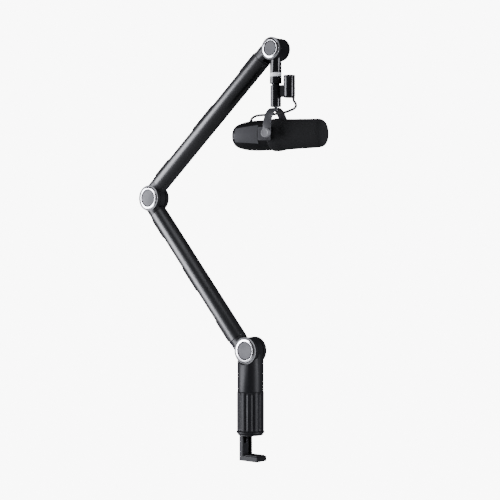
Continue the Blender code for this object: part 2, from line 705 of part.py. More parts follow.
def build_side_plates(frame):
    """Two plates wrapped on the flanks, tapering towards the tail."""
    trapezoid = [(-25.0, -17.5), (-25.0, 17.5), (-75.0, 13.0), (-75.0, -13.0)]
    section = [*body_section(1.5), *reversed(body_section(GAP))]
    for label, side in (("near", -1), ("far", 1)):
        plate = turned(f"{label}_side_plate", section, frame, "side_grey", rotation=(0, 90, 0),
                       steps=40)
        window = extruded(f"{label}_plate_window", [trapezoid], 20.0, frame, None,
                          location=(0, side * 25.0, 0), rotation=(90, 0, 0))
        boolean(plate, "INTERSECT", window)


# ---- assembly ---------------------------------------------------------------------------------------------
def beyond(point, arm):
    """The pivot at the far end of an arm."""
    length, degrees = arm
    a = math.radians(degrees)
    return (point[0] + length * math.cos(a), point[1] + length * math.sin(a))


def build():
    """Places the moving frames and builds every sub-assembly."""
    elbow = beyond(BASE_PIVOT, LOWER_ARM)
    head = beyond(elbow, UPPER_ARM)
    lower_frame = frame_empty("base_tilt", (BASE_PIVOT[0], 0, BASE_PIVOT[1]),
                              (0, 90 - LOWER_ARM[1], 0))
    upper_frame = frame_empty("elbow_hinge", (elbow[0], 0, elbow[1]), (0, 90 - UPPER_ARM[1], 0))
    elbow_frame = frame_empty("elbow_centre", (elbow[0], 0, elbow[1]))
    head_frame = frame_empty("head_tilt", (head[0], 0, head[1]))
    mic_frame = frame_empty("yoke_tilt", (head[0], 0, head[1] - MIC_DROP), (0, 0, MIC_YAW))
    bpy.context.view_layer.update()

    build_clamp()
    build_knob()
    build_lower_jaw()
    build_post(lower_frame)
    build_lower_arm(lower_frame)
    build_upper_arm(upper_frame, elbow_frame, head_frame)
    build_head(head_frame)
    build_mount(mic_frame)
    build_microphone(mic_frame)


build()
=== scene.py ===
"""Looks of a broadcast microphone on a two-link boom arm with a desk clamp.

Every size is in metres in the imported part's own frame: +Z is up, the arm folds in the XZ plane
and reaches towards +X. Each sub-assembly is a class that builds its meshes and dresses them.
"""

import json
import logging
import math
from collections.abc import Callable, Sequence
from dataclasses import dataclass
from enum import Enum

import bmesh
import bpy
import numpy as np
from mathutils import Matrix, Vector
from numpy.typing import NDArray


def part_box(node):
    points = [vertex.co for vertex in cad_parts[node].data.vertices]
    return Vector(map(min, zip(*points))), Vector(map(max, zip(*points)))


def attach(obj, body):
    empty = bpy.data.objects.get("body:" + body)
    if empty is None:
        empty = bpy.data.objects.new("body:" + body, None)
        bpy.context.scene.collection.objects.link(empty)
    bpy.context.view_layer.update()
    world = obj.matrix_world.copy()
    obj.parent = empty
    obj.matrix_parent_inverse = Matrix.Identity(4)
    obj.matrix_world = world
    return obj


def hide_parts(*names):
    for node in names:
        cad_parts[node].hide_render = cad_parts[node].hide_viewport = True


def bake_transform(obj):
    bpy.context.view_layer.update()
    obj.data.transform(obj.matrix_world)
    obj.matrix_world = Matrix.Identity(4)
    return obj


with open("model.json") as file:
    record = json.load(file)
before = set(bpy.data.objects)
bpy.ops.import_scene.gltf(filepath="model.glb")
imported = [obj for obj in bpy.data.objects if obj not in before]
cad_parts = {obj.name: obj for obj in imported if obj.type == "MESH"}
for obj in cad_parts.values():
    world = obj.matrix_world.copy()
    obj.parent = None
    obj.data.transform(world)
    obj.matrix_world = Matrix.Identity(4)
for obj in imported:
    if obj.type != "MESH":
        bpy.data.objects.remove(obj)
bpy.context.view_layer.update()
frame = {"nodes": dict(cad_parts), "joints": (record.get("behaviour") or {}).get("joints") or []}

Array = NDArray[np.float64]
Profile = Sequence[tuple[float, float]]
Reshape = Callable[[Array, Array, Array], Array]
Socket = bpy.types.NodeSocket
log = logging.getLogger("boom_microphone")
TURN = 2 * math.pi
MM = 0.001
GAP = 0.3 * MM  # between neighbouring pieces
FULL_WEAR = 0.0016  # metres over which a turn of one radian counts as a fully worn edge
SHADE_LIMIT = math.radians(40.0)  # past it, an edge of a new piece is shaded sharp
EDGE_LIMIT = math.radians(38.0)  # past it, an edge of a CAD node is rounded
FLAT_LIMIT = math.radians(1.0)  # under it, neighbouring faces of a CAD node become one
SAME_POINT = 0.000004  # metres under which corners of a CAD node become one


# ---- finishes ----------------------------------------------------------------------------------
class Texture(Enum):
    """The kinds of fine surface that a finish can have."""

    POWDER = "powder_grain"
    SMOOTH = "smooth_grain"
    BRUSHED = "spun_lines"
    FOAM = "foam_cells"


class Nodes:
    """Short calls for building in a node tree."""

    def __init__(self, tree: bpy.types.NodeTree) -> None:
        """Takes the tree."""
        self.tree = tree

    def feed(self, socket: Socket, value: object) -> None:
        """Gives an input its value.

        Args:
            socket: the input.
            value: a socket to link to it, or a number or colour.
        """
        if isinstance(value, Socket):
            self.tree.links.new(value, socket)
        else:
            socket.default_value = value

    def node(self, kind: str, inputs: dict[str | int, object],
             **settings: object) -> bpy.types.Node:
        """Adds a node.

        Args:
            kind: its type, after "ShaderNode".
            inputs: the values of its inputs.
            settings: its properties, set first.

        Returns:
            The node.
        """
        made = self.tree.nodes.new(f"ShaderNode{kind}")
        for key, value in settings.items():
            setattr(made, key, value)
        for key, value in inputs.items():
            self.feed(made.inputs[key], value)
        return made

    def maths(self, operation: str, a: object, b: object) -> Socket:
        """The result of an operation on two sockets or numbers."""
        return self.node("Math", {0: a, 1: b}, operation=operation).outputs[0]

    def mixed(self, factor: Socket, a: object, b: object) -> Socket:
        """A mix of two sockets or colours."""
        return self.node("Mix", {"Factor": factor, 6: a, 7: b}, data_type="RGBA").outputs[2]

    def noise(self, place: Socket, scale: object, detail: float, roughness: float = 0.5) -> Socket:
        """A noise pattern of about 0 to 1, its scale in cells per metre."""
        return self.node("TexNoise", {"Vector": place, "Scale": scale, "Detail": detail,
                                      "Roughness": roughness}).outputs["Fac"]

    def cells(self, place: Socket, scale: object) -> Socket:
        """The distance to the nearest point of a Voronoi pattern."""
        return self.node("TexVoronoi", {"Vector": place, "Scale": scale}).outputs["Distance"]

    def weighted(self, a: Socket, share_a: float, b: Socket, share_b: float) -> Socket:
        """The sum of two patterns, each times its share."""
        return self.maths("ADD", self.maths("MULTIPLY", a, share_a),
                          self.maths("MULTIPLY", b, share_b))


class Group(Nodes):
    """A shader node group in the making; place is its Object coordinates."""

    def __init__(self, name: str, given: tuple[str, float], outputs: Sequence[str]) -> None:
        """Opens a group.

        Args:
            name: the group's name.
            given: the name and default of its input.
            outputs: the names of its outputs.
        """
        super().__init__(bpy.data.node_groups.new(name, "ShaderNodeTree"))
        face = self.tree.interface
        face.new_socket(given[0], in_out="INPUT",
                        socket_type="NodeSocketFloat").default_value = given[1]
        for label in outputs:
            face.new_socket(label, in_out="OUTPUT", socket_type="NodeSocketFloat")
        self.given = self.tree.nodes.new("NodeGroupInput").outputs[0]
        self.sink = self.tree.nodes.new("NodeGroupOutput")
        self.place = self.node("TexCoord", {}).outputs["Object"]

    def give(self, **values: Socket) -> None:
        """Links the group's outputs, each by its name."""
        for label, value in values.items():
            self.feed(self.sink.inputs[label], value)


def build_powder(group: Group) -> None:
    """Powder coat: an even orange-peel of small beads, with slow changes of tone.

    Args:
        group: the group to fill; its input is a scale in cells per metre.
    """
    beads = group.cells(group.place, group.given)
    fine = group.noise(group.place, group.maths("MULTIPLY", group.given, 2.3), 2.0)
    group.give(Height=group.weighted(beads, -0.6, fine, 0.5),
               Tone=group.noise(group.place, 42.0, 4.0, 0.6))


def build_smooth(group: Group) -> None:
    """Moulded or polished skin: very fine noise over slow, shallow waves.

    Args:
        group: the group to fill.
    """
    fine = group.noise(group.place, group.given, 3.0)
    slow = group.noise(group.place, 60.0, 2.0)
    group.give(Height=group.weighted(fine, 0.7, slow, 0.3),
               Tone=group.noise(group.place, 90.0, 3.0, 0.55))


def build_spun(group: Group) -> None:
    """Spun metal: lines that run round the piece, from noise stretched along the UV map's U.

    Args:
        group: the group to fill.
    """
    uv = group.node("TexCoord", {}).outputs["UV"]
    stretch = group.node("Mapping", {"Vector": uv, "Scale": (3.0, 900.0, 1.0)})
    lines = group.noise(stretch.outputs["Vector"], 1.0, 3.0, 0.7)
    fine = group.noise(group.place, group.given, 2.0)
    group.give(Height=group.weighted(lines, 0.8, fine, 0.2), Tone=lines)


def build_foam(group: Group) -> None:
    """Open-cell foam: pits of two sizes, with painted shade that darkens the pits and leaves the
    foam lighter between them.

    Args:
        group: the group to fill.
    """
    pores = group.cells(group.place, group.given)
    small = group.cells(group.place, group.maths("MULTIPLY", group.given, 2.1))
    height = group.weighted(pores, 0.7, small, 0.4)
    # the tone follows the height, which paints shade into the pits
    group.give(Height=height, Tone=group.maths("MULTIPLY", height, 1.1))


TEXTURE_BUILDERS: dict[Texture, Callable[[Group], None]] = {
    Texture.POWDER: build_powder,
    Texture.SMOOTH: build_smooth,
    Texture.BRUSHED: build_spun,
    Texture.FOAM: build_foam,
}


def texture_group(texture: Texture) -> bpy.types.NodeTree:
    """The node group of a texture, built once.

    Args:
        texture: the kind of surface.

    Returns:
        A group with the outputs Height and Tone, each about 0 to 1.
    """
    found = bpy.data.node_groups.get(texture.value)
    if found:
        return found
    group = Group(texture.value, ("Scale", 900.0), ("Height", "Tone"))
    TEXTURE_BUILDERS[texture](group)
    return group.tree


def handling_group() -> bpy.types.NodeTree:
    """Signs of use: soft smudges, specks of dust, and broken wear where "edge" is high.

    Returns:
        A group with the outputs Smudge, Dust and Rub, each 0 to 1.
    """
    found = bpy.data.node_groups.get("signs_of_use")
    if found:
        return found
    group = Group("signs_of_use", ("Dust Amount", 0.3), ("Smudge", "Dust", "Rub"))
    specks = group.maths("GREATER_THAN", group.noise(group.place, 1500.0, 1.0), 0.735)
    edge = group.node("Attribute", {}, attribute_name="edge").outputs["Fac"]
    broken = group.maths("GREATER_THAN", group.noise(group.place, 700.0, 4.0, 0.7), 0.56)
    group.give(Smudge=group.noise(group.place, 26.0, 5.0, 0.62),
               Dust=group.maths("MULTIPLY", specks, group.given),
               Rub=group.maths("MULTIPLY", edge, broken))
    return group.tree


@dataclass(frozen=True)
class Finish:
    """A painted, plated, moulded or foamed surface.

    Attributes:
        slot: the record's material slot that the finish stands for.
        colour: linear RGB.
        roughness: mean roughness.
        metallic: 0 or 1.
        texture: the fine surface.
        scale: its cells per metre.
        relief: its depth in metres.
        tone: how far the lightness varies.
        uneven: how far the roughness varies.
        rub: how far rubbed edges go towards bare metal.
        dust: how many specks of dust lie on it.
        coat: weight of a clear coat.
        sheen: weight of a soft sheen.
        specular: strength of the reflection at a right angle, 0.5 for an index of 1.5.
    """

    slot: str
    colour: tuple[float, float, float]
    roughness: float
    metallic: float = 0.0
    texture: Texture = Texture.POWDER
    scale: float = 1500.0
    relief: float = 0.00004
    tone: float = 0.15
    uneven: float = 0.08
    rub: float = 0.25
    dust: float = 0.25
    coat: float = 0.0
    sheen: float = 0.0
    specular: float = 0.5

    def shade(self, share: float, plus: float = 0.0) -> tuple[float, ...]:
        """The colour times a share, plus a grey, with an alpha of 1."""
        return (*(min(1.0, c * share + plus) for c in self.colour), 1.0)

    def material(self) -> bpy.types.Material:
        """The finish as a node material, built once.

        Returns:
            The material.
        """
        name = f"{self.slot}_{self.roughness}_{self.colour[0]}"
        found = bpy.data.materials.get(name)
        if found:
            return found
        mat = bpy.data.materials.new(name)
        mat.use_nodes = True
        nodes = Nodes(mat.node_tree)
        grain = nodes.node("Group", {"Scale": self.scale}, node_tree=texture_group(self.texture))
        use = nodes.node("Group", {"Dust Amount": self.dust}, node_tree=handling_group())

        toned = nodes.mixed(grain.outputs["Tone"], self.shade(1 - self.tone),
                            self.shade(1 + self.tone))
        worn = nodes.maths("MULTIPLY", use.outputs["Rub"], self.rub)
        rubbed = nodes.mixed(worn, toned, self.shade(0.4, 0.22))
        dusted = nodes.mixed(use.outputs["Dust"], rubbed, self.shade(0.6, 0.16))
        uneven = nodes.node("MapRange", {
            "Value": use.outputs["Smudge"], "From Min": 0.3, "From Max": 0.7,
            "To Min": max(0.03, self.roughness - self.uneven),
            "To Max": min(1.0, self.roughness + self.uneven)})
        bump = nodes.node("Bump", {"Distance": self.relief, "Height": grain.outputs["Height"]})

        shader = mat.node_tree.nodes["Principled BSDF"]
        for label, value in {
            "Base Color": dusted, "Roughness": uneven.outputs["Result"],
            "Normal": bump.outputs["Normal"], "Metallic": self.metallic,
            "Specular IOR Level": self.specular, "Coat Weight": self.coat,
            "Coat Roughness": 0.12, "Sheen Weight": self.sheen, "Sheen Roughness": 0.6,
        }.items():
            nodes.feed(shader.inputs[label], value)
        mat.diffuse_color = self.shade(1.0)
        return mat


TUBE_COAT = Finish("black_coat", (0.011, 0.011, 0.012), 0.34, relief=0.000012, tone=0.08,
                   uneven=0.03, specular=0.72)
BLACK_COAT = Finish("black_coat", (0.014, 0.014, 0.0155), 0.38, relief=0.00001, specular=0.36)
GLOSS_COAT = Finish("black_coat", (0.008, 0.008, 0.009), 0.17, scale=2400.0, relief=0.000004,
                    uneven=0.03, specular=0.30)
GREY_COAT = Finish("dark_grey_coat", (0.011, 0.011, 0.0125), 0.42, relief=0.00001, uneven=0.04,
                   specular=0.18)
BODY_COAT = Finish("black_coat", (0.0055, 0.0055, 0.006), 0.40, scale=1200.0, relief=0.00003,
                   specular=0.16)
PLATE_GREY = Finish("side_grey", (0.062, 0.062, 0.0655), 0.6, scale=2200.0, relief=0.00001,
                    tone=0.08, specular=0.05)
YOKE_GREY = Finish("dark_grey_coat", (0.056, 0.056, 0.060), 0.38, relief=0.00001, uneven=0.04,
                   specular=0.6)
KNOB_GREY = Finish("side_grey", (0.190, 0.190, 0.196), 0.4, scale=2200.0, relief=0.00001,
                   tone=0.08, specular=0.35)
PLASTIC = Finish("black_plastic", (0.009, 0.009, 0.010), 0.45, texture=Texture.SMOOTH,
                 scale=2600.0, relief=0.00001, rub=0.08)
CHROME = Finish("chrome", (0.72, 0.72, 0.74), 0.15, 1.0, Texture.SMOOTH, 1200.0, 0.000003,
                tone=0.03, uneven=0.04, rub=0.0, dust=0.05)
DISC_GREY = Finish("brushed_disc", (0.048, 0.048, 0.0505), 0.5, 0.6, Texture.BRUSHED, 1800.0,
                   0.000012, tone=0.12, uneven=0.06, rub=0.0, dust=0.1)
STEEL = Finish("steel", (0.46, 0.46, 0.48), 0.3, 1.0, Texture.SMOOTH, 1600.0, 0.00001,
               rub=0.1, dust=0.1)
DARK_STEEL = Finish("steel", (0.07, 0.07, 0.075), 0.34, 1.0, Texture.SMOOTH, 1600.0, 0.00001,
                    rub=0.3, dust=0.1)
GOLD = Finish("brass", (0.80, 0.58, 0.24), 0.22, 1.0, Texture.SMOOTH, 1600.0, 0.000006,
              tone=0.08, rub=0.0, dust=0.0)
BRASS = Finish("brass", (0.62, 0.46, 0.20), 0.35, 1.0, Texture.SMOOTH, 1600.0, 0.00001)
RUBBER = Finish("rubber", (0.008, 0.008, 0.0085), 0.55, texture=Texture.SMOOTH, scale=1800.0,
                relief=0.00003, rub=0.0, dust=0.3)
# its tone sets how dark the painted shade in the foam's pits is
FOAM = Finish("foam", (0.0105, 0.0105, 0.0110), 0.95, texture=Texture.FOAM, scale=900.0,
              relief=0.00028, tone=0.4, rub=0.0, dust=0.3, specular=0.2)
WHITE = Finish("white_ring", (0.90, 0.90, 0.91), 0.28, texture=Texture.SMOOTH, scale=1500.0,
               relief=0.00001, tone=0.03, rub=0.0, dust=0.0, coat=0.3)
BOARD = Finish("board_green", (0.03, 0.16, 0.07), 0.4, texture=Texture.SMOOTH, scale=700.0,
               relief=0.00003, tone=0.3, coat=0.4)


# ---- places and shapes -------------------------------------------------------------------------
@dataclass(frozen=True)
class Axes:
    """A local frame: its origin and a matrix whose columns are its axes."""

    origin: Array
    turn: Array

    def place(self, points: Array) -> Array:
        """Local points, in the last axis of the array, as world points."""
        return points @ self.turn.T + self.origin

    def shifted(self, x: float = 0.0, y: float = 0.0, z: float = 0.0) -> "Axes":
        """The same axes from another local origin."""
        return Axes(self.place(np.array([x, y, z])), self.turn)

    def facing(self, side: int) -> "Axes":
        """Axes whose Z is this frame's Y, or its reverse.

        Args:
            side: +1 or -1.
        """
        x, y, z = self.turn.T
        return Axes(self.origin, np.stack([x, -side * z, side * y], axis=1))

    def along_x(self) -> "Axes":
        """Axes whose Z is this frame's X."""
        x, y, z = self.turn.T
        return Axes(self.origin, np.stack([-z, y, x], axis=1))


WORLD = Axes(np.zeros(3), np.eye(3))


def joint_row(name: str) -> dict[str, object]:
    """A joint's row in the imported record."""
    return next(row for row in frame["joints"] if row["name"] == name)


def joint_point(name: str) -> Array:
    """A joint's point at rest."""
    return np.array(joint_row(name)["pos_m"], float)


def arm_axes(start: Array, end: Array) -> Axes:
    """The frame of an arm: Z from pivot to pivot, Y along the hinge pins.

    Args:
        start: its lower pivot.
        end: its upper pivot.

    Returns:
        The axes, at the lower pivot.
    """
    z = (end - start) / np.linalg.norm(end - start)
    y = np.array([0.0, 1.0, 0.0])
    return Axes(start, np.stack([np.cross(y, z), y, z], axis=1))


def microphone_axes() -> Axes:
    """The microphone's frame: X along it, Y along its pivots, Z up.

    Returns:
        The axes, between the two pivots.
    """
    y = np.array(joint_row("yoke_tilt")["axis"], float)
    y /= np.linalg.norm(y)
    z = np.array([0.0, 0.0, 1.0])
    return Axes(joint_point("yoke_tilt"), np.stack([np.cross(y, z), y, z], axis=1))


def rounded(points: Profile, radius: float, closed: bool = False, steps: int = 5) -> Array:
    """A profile with each corner replaced by a short curve.

    A corner B between A and C becomes the quadratic curve from a point on AB to a point on BC,
    both at the radius from B or half way along a shorter side.

    Args:
        points: (radius, height) pairs in metres.
        radius: how far a curve starts from its corner.
        closed: whether the last point joins the first.
        steps: points in each curve.

    Returns:
        The new profile, one row for each point.
    """
    given = np.array(points, float)
    t = np.linspace(0.0, 1.0, steps)[:, None]
    out: list[Array] = []
    count = len(given)
    for i, corner in enumerate(given):
        if not closed and i in (0, count - 1):
            out.append(corner[None])
            continue
        before, after = given[i - 1] - corner, given[(i + 1) % count] - corner
        reach = [min(radius, np.linalg.norm(v) * 0.49) for v in (before, after)]
        a = corner + before / max(np.linalg.norm(before), 1e-9) * reach[0]
        c = corner + after / max(np.linalg.norm(after), 1e-9) * reach[1]
        out.append((1 - t) ** 2 * a + 2 * t * (1 - t) * corner + t**2 * c)
    return np.concatenate(out)


def smooth_line(points: Array, per_span: int) -> Array:
    """Points on the Catmull-Rom curve through the given ones.

    Args:
        points: the given points, one in each row.
        per_span: how many are put between two of them.

    Returns:
        The points, one in each row.
    """
    ends = np.vstack([points[0] * 2 - points[1], points, points[-1] * 2 - points[-2]])
    before, a, b, after = ends[:-3, None], ends[1:-2, None], ends[2:-1, None], ends[3:, None]
    t = np.linspace(0.0, 1.0, per_span, endpoint=False)[None, :, None]
    curve = 0.5 * (2 * a + (b - before) * t + (2 * before - 5 * a + 4 * b - after) * t**2
                   + (3 * a - before - 3 * b + after) * t**3)
    return np.vstack([curve.reshape(-1, points.shape[1]), points[-1:]])


def edge_mask(profile: Array, closed: bool) -> Array:
    """How worn a profile is at each point, 0 on straight runs and 1 at tight corners.

    It is the angle between the two sides at the point, over the sum of their lengths, times
    FULL_WEAR.

    Args:
        profile: (r, z) rows.
        closed: whether the last point joins the first.

    Returns:
        A number for each point.
    """
    if closed:
        before, after = np.roll(profile, 1, axis=0), np.roll(profile, -1, axis=0)
    else:
        before = np.vstack([profile[:1], profile[:-1]])
        after = np.vstack([profile[1:], profile[-1:]])
    one, two = profile - before, after - profile
    lengths = np.linalg.norm(one, axis=1) + np.linalg.norm(two, axis=1) + 1e-9
    cross = one[:, 0] * two[:, 1] - one[:, 1] * two[:, 0]
    norm = np.linalg.norm(one, axis=1) * np.linalg.norm(two, axis=1) + 1e-12
    turn = np.abs(np.arcsin(np.clip(cross / norm, -1, 1)))
    return np.clip(turn / lengths * FULL_WEAR, 0.0, 1.0)


def grid_faces(rows: int, columns: int, wrap_rows: bool, wrap_columns: bool) -> Array:
    """The quads of a grid whose points are numbered row by row.

    Args:
        rows: its rows of points.
        columns: the points in a row.
        wrap_rows: whether the last row joins the first.
        wrap_columns: whether a row's last point joins its first.

    Returns:
        Four corner numbers for each quad.
    """
    r = np.arange(rows if wrap_rows else rows - 1)[:, None]
    c = np.arange(columns if wrap_columns else columns - 1)[None, :]
    r2, c2 = (r + 1) % rows, (c + 1) % columns
    quads = [r * columns + c, r2 * columns + c, r2 * columns + c2, r * columns + c2]
    return np.stack([np.broadcast_to(q, quads[0].shape) for q in quads], axis=-1).reshape(-1, 4)


def add_object(name: str, data: bpy.types.ID) -> bpy.types.Object:
    """Puts an object with its data in the scene.

    Args:
        name: the object's name.
        data: its mesh, light or camera.

    Returns:
        Its object.
    """
    obj = bpy.data.objects.new(name, data)
    bpy.context.scene.collection.objects.link(obj)
    return obj


@dataclass(frozen=True)
class Piece:
    """What a visible piece is called, wears, rides on and stands in for.

    Attributes:
        name: its name.
        finish: its surface.
        body: the CAD body it moves with, or nothing to leave it unattached.
        node: the CAD node it replaces, if any.
    """

    name: str
    finish: Finish
    body: str = ""
    node: str = ""

    def dressed(self, mesh: bpy.types.Mesh) -> bpy.types.Object:
        """Makes the object, at the origin.

        Args:
            mesh: its mesh, in place.

        Returns:
            Its object.
        """
        mesh.shade_smooth()
        mesh.materials.clear()
        mesh.materials.append(self.finish.material())
        obj = add_object(self.name, mesh)
        if self.body:
            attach(obj, self.body)
        if self.node:
            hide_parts(self.node)
        log.info("%s: %d faces", self.name, len(mesh.polygons))
        return obj


def new_piece(piece: Piece, points: Array, faces: list[Array], edge: Array | None = None,
              uv: Array | None = None) -> bpy.types.Object:
    """A piece with a mesh of its own.

    Args:
        piece: its record.
        points: world points.
        faces: arrays of corner numbers, each array with one corner count.
        edge: how worn each point may be.
        uv: a (u, v) pair for each point.

    Returns:
        Its object.
    """
    mesh = bpy.data.meshes.new(piece.name)
    listed = [face for block in faces for face in block.tolist()]
    mesh.from_pydata(points.reshape(-1, 3).tolist(), [], listed)
    if edge is not None:
        mesh.attributes.new("edge", "FLOAT", "POINT").data.foreach_set(
            "value", edge.astype(np.float32).ravel())
    if uv is not None:
        corners = np.zeros(len(mesh.loops), np.int32)
        mesh.loops.foreach_get("vertex_index", corners)
        mesh.uv_layers.new(name="UVMap").data.foreach_set(
            "uv", uv.reshape(-1, 2)[corners].astype(np.float32).ravel())
    work = bmesh.new()
    work.from_mesh(mesh)
    bmesh.ops.recalc_face_normals(work, faces=work.faces)
    work.to_mesh(mesh)
    work.free()
    obj = piece.dressed(mesh)
    mesh.set_sharp_from_angle(angle=SHADE_LIMIT)
    return obj


def lathe(piece: Piece, profile: Array, axes: Axes, segments: int = 96, closed: bool = False,
          shape: Reshape | None = None) -> bpy.types.Object:
    """A turned piece: each profile point (r, z) goes round the axes' Z.

    A point at angle a lands at (r cos a, r sin a, z). shape may change r as a function of the
    profile's r and z and the angle. An open profile starts and ends on the axis, where its
    points close to one.

    Args:
        piece: its record.
        profile: (r, z) rows.
        axes: the frame it is turned in.
        segments: points round the axis.
        closed: whether the profile is a closed ring section.
        shape: the change of radius, if any.

    Returns:
        Its object.
    """
    angle = np.linspace(0.0, TURN, segments, endpoint=False)
    inner = profile if closed else profile[1:-1]
    r, z, a = inner[:, :1], inner[:, 1:], angle[None, :]
    radius = shape(r, z, a) if shape else r + 0 * a
    points = np.stack([radius * np.cos(a), radius * np.sin(a), z + 0 * a], axis=-1)
    rows = len(inner)
    faces = [grid_faces(rows, segments, closed, True)]
    edge = np.repeat(edge_mask(profile, closed)[slice(None) if closed else slice(1, -1)], segments)
    run = np.concatenate([[0.0], np.cumsum(np.linalg.norm(np.diff(inner, axis=0), axis=1))])
    uv = np.stack(np.broadcast_arrays(angle[None, :] / TURN, run[:, None]), axis=-1)
    flat = axes.place(points).reshape(-1, 3)
    uv = uv.reshape(-1, 2)
    if not closed:
        poles = axes.place(np.array([[0, 0, profile[0, 1]], [0, 0, profile[-1, 1]]]))
        start, end = len(flat), len(flat) + 1
        c = np.arange(segments)
        nxt = (c + 1) % segments
        last = (rows - 1) * segments
        faces.append(np.stack([c, nxt, np.full(segments, start)], axis=1))
        faces.append(np.stack([last + nxt, last + c, np.full(segments, end)], axis=1))
        flat = np.vstack([flat, poles])
        edge = np.concatenate([edge, [0.0, 0.0]])
        uv = np.vstack([uv, [[0.5, 0.0], [0.5, run[-1]]]])
    return new_piece(piece, flat, faces, edge, uv)


def loft(piece: Piece, sections: Array, axes: Axes) -> bpy.types.Object:
    """A skin over closed sections of equal point count, its two ends closed flat.

    Args:
        piece: its record.
        sections: an array (sections, points, 3).
        axes: the frame of the sections.

    Returns:
        Its object.
    """
    rows, columns, _ = sections.shape
    start = np.arange(columns)[None]
    faces = [grid_faces(rows, columns, False, True), start[:, ::-1], start + (rows - 1) * columns]
    return new_piece(piece, axes.place(sections), faces)


def rounded_rectangle(width: float, height: float, radius: float, steps: int = 4) -> Array:
    """The outline of a rectangle with round corners, centred, as (x, y) rows."""
    w, h = width / 2, height / 2
    return rounded([(-w, -h), (w, -h), (w, h), (-w, h)], radius, closed=True, steps=steps)


def refined(piece: Piece, bevel: float, segments: int = 2) -> None:
    """A finer stand-in for a machined CAD node: its flat faces joined and its edges rounded.

    Args:
        piece: its record; its node gives the mesh.
        bevel: the width of the rounded edges.
        segments: faces across a rounded edge.
    """
    mesh = frame["nodes"][piece.node].data.copy()
    mesh.name = piece.name
    work = bmesh.new()
    work.from_mesh(mesh)
    bmesh.ops.remove_doubles(work, verts=work.verts, dist=SAME_POINT)
    bmesh.ops.dissolve_limit(work, angle_limit=FLAT_LIMIT, verts=work.verts, edges=work.edges)
    work.to_mesh(mesh)
    work.free()
    modifier = piece.dressed(mesh).modifiers.new("Rounded edges", "BEVEL")
    mesh.set_sharp_from_angle(angle=EDGE_LIMIT)
    modifier.width = bevel
    modifier.segments = segments
    modifier.limit_method = "ANGLE"
    modifier.angle_limit = EDGE_LIMIT
    modifier.harden_normals = True


def dress(finish: Finish, *nodes: str) -> None:
    """Gives carried-over CAD nodes a finish in place of their plain one.

    Args:
        finish: the surface.
        nodes: the nodes' names.
    """
    for name in nodes:
        materials = frame["nodes"][name].data.materials
        materials.clear()
        materials.append(finish.material())
        log.info("%s keeps its CAD shape", name)


# ---- sub-assemblies ----------------------------------------------------------------------------
@dataclass
class Clamp:
    """The desk clamp: flanged core, fluted knob, sliding jaw and rubber pads."""

    knob_radius: float = 26.0 * MM
    knob_bore: float = 22.4 * MM
    flute_count: int = 12
    flute_depth: float = 1.5 * MM
    flute_half: float = math.radians(9.5)
    flute_phase: float = math.radians(18.5)
    flute_fade: float = 2.5 * MM
    rib_pitch: float = 2.4 * MM
    rib_depth: float = 0.4 * MM

    def build(self) -> None:
        """Builds and dresses every piece of the clamp."""
        self.build_knob()
        refined(Piece("flanged_core", GREY_COAT, "clamp", "clamp_core"), 0.0007)
        refined(Piece("jaw_bracket", GREY_COAT, "jaw", "lower_jaw"), 0.0009, 3)
        refined(Piece("foot_pad", RUBBER, "jaw", "jaw_pad"), 0.0005)
        refined(Piece("flange_pad", RUBBER, "clamp", "upper_jaw_pad"), 0.0004)
        refined(Piece("leg_rack", STEEL, "jaw", "jaw_rack"), 0.0002, 1)
        self.build_rail()
        dress(BRASS, "swivel_bushing")

    def fluted(self, r: Array, z: Array, angle: Array) -> Array:
        """The knob's radius: round-bottomed grooves between lands, fading out at both ends.

        Across a groove's width its depth is half a cosine wave, and the fade at the ends is a
        smooth step in height.

        Args:
            r, z, angle: the profile's radii and heights, and the angles round the axis.

        Returns:
            The new radii.
        """
        low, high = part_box("clamp_knob")
        period = TURN / self.flute_count
        away = (angle - self.flute_phase + period / 2) % period - period / 2
        groove = 0.5 + 0.5 * np.cos(np.clip(away / self.flute_half, -1, 1) * math.pi)
        inside = np.minimum(high.z - 1.0 * MM - z, z - low.z - 0.6 * MM)
        t = np.clip(inside / self.flute_fade, 0, 1)
        outer = r > self.knob_radius - 1.2 * MM
        return r - outer * self.flute_depth * groove * t * t * (3 - 2 * t)

    def build_knob(self) -> None:
        """The fluted sleeve, a closed ring section with fine rows along its outer wall."""
        low, high = (corner.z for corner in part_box("clamp_knob"))
        outer, slant = self.knob_radius, 0.9 * MM
        wall = [(outer, z) for z in np.linspace(high - slant, low + slant, 30)]
        section = [(self.knob_bore, high), (outer - slant, high), *wall,
                   (outer - slant, low), (self.knob_bore, low)]
        lathe(Piece("fluted_knob", GREY_COAT, "knob", "clamp_knob"), np.array(section), WORLD, 432,
              closed=True, shape=self.fluted)

    def build_rail(self) -> None:
        """The rail in the leg, a rounded bar with shallow ribs across it.

        The bar's section shrinks on each side as a cosine wave for each rib.
        """
        low, high = (np.array(corner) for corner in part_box("guide_rail"))
        z = np.linspace(low[2], high[2], 300)
        section = rounded_rectangle(high[0] - low[0], high[1] - low[1], 1.0 * MM)
        groove = self.rib_depth / 2 * (1 - np.cos(TURN * (z - low[2]) / self.rib_pitch))
        shrink = 1 - groove[:, None, None] / np.abs(section).max(axis=0)
        ribs = section[None] * shrink + (low + high)[None, None, :2] / 2
        points = np.concatenate([ribs, np.broadcast_to(z[:, None, None], ribs[..., :1].shape)], 2)
        loft(Piece("ribbed_leg_rail", DARK_STEEL, "clamp", "guide_rail"), points, WORLD)


@dataclass
class Post:
    """The swivelling post under the lower hinge."""

    def build(self) -> None:
        """Builds the post."""
        refined(Piece("post_drum", GREY_COAT, "post", "post"), 0.0008)


